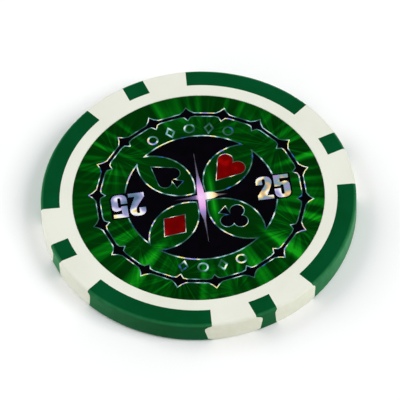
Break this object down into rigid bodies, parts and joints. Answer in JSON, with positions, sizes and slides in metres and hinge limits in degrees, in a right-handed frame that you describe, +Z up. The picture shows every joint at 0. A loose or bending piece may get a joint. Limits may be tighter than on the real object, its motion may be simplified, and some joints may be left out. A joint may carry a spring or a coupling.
{
  "type": "poker chip",
  "caption": "Round white plastic gaming chip with a hidden steel weight, green edge spots keyed into the rim and a green foil label recessed in each face.",
  "frame": {"origin": "centre of the lower face, in the plane of the lower rim", "axes": "+Z up along the chip's own axis, +X through the middle of the first long edge spot"},
  "size_m": [0.04, 0.04, 0.0033],
  "materials": {
    "slug_steel": "stamped mild steel, hidden inside the chip",
    "white_abs": "moulded ABS with a fine satin grain",
    "green_abs": "moulded ABS with a fine satin grain",
    "label_adhesive": "clear acrylic adhesive film",
    "label_foil": "glossy printed holographic polyester foil"
  },
  "bodies": {
    "root": {"steel_slug": "slug_steel", "white_body": "white_abs", "long_edge_spot_1": "green_abs", "long_edge_spot_2": "green_abs", "long_edge_spot_3": "green_abs", "long_edge_spot_4": "green_abs", "short_edge_spot_1": "green_abs", "short_edge_spot_2": "green_abs", "short_edge_spot_3": "green_abs", "short_edge_spot_4": "green_abs", "upper_label_adhesive": "label_adhesive", "upper_label_foil": "label_foil", "lower_label_adhesive": "label_adhesive", "lower_label_foil": "label_foil"}
  },
  "joints": []
}
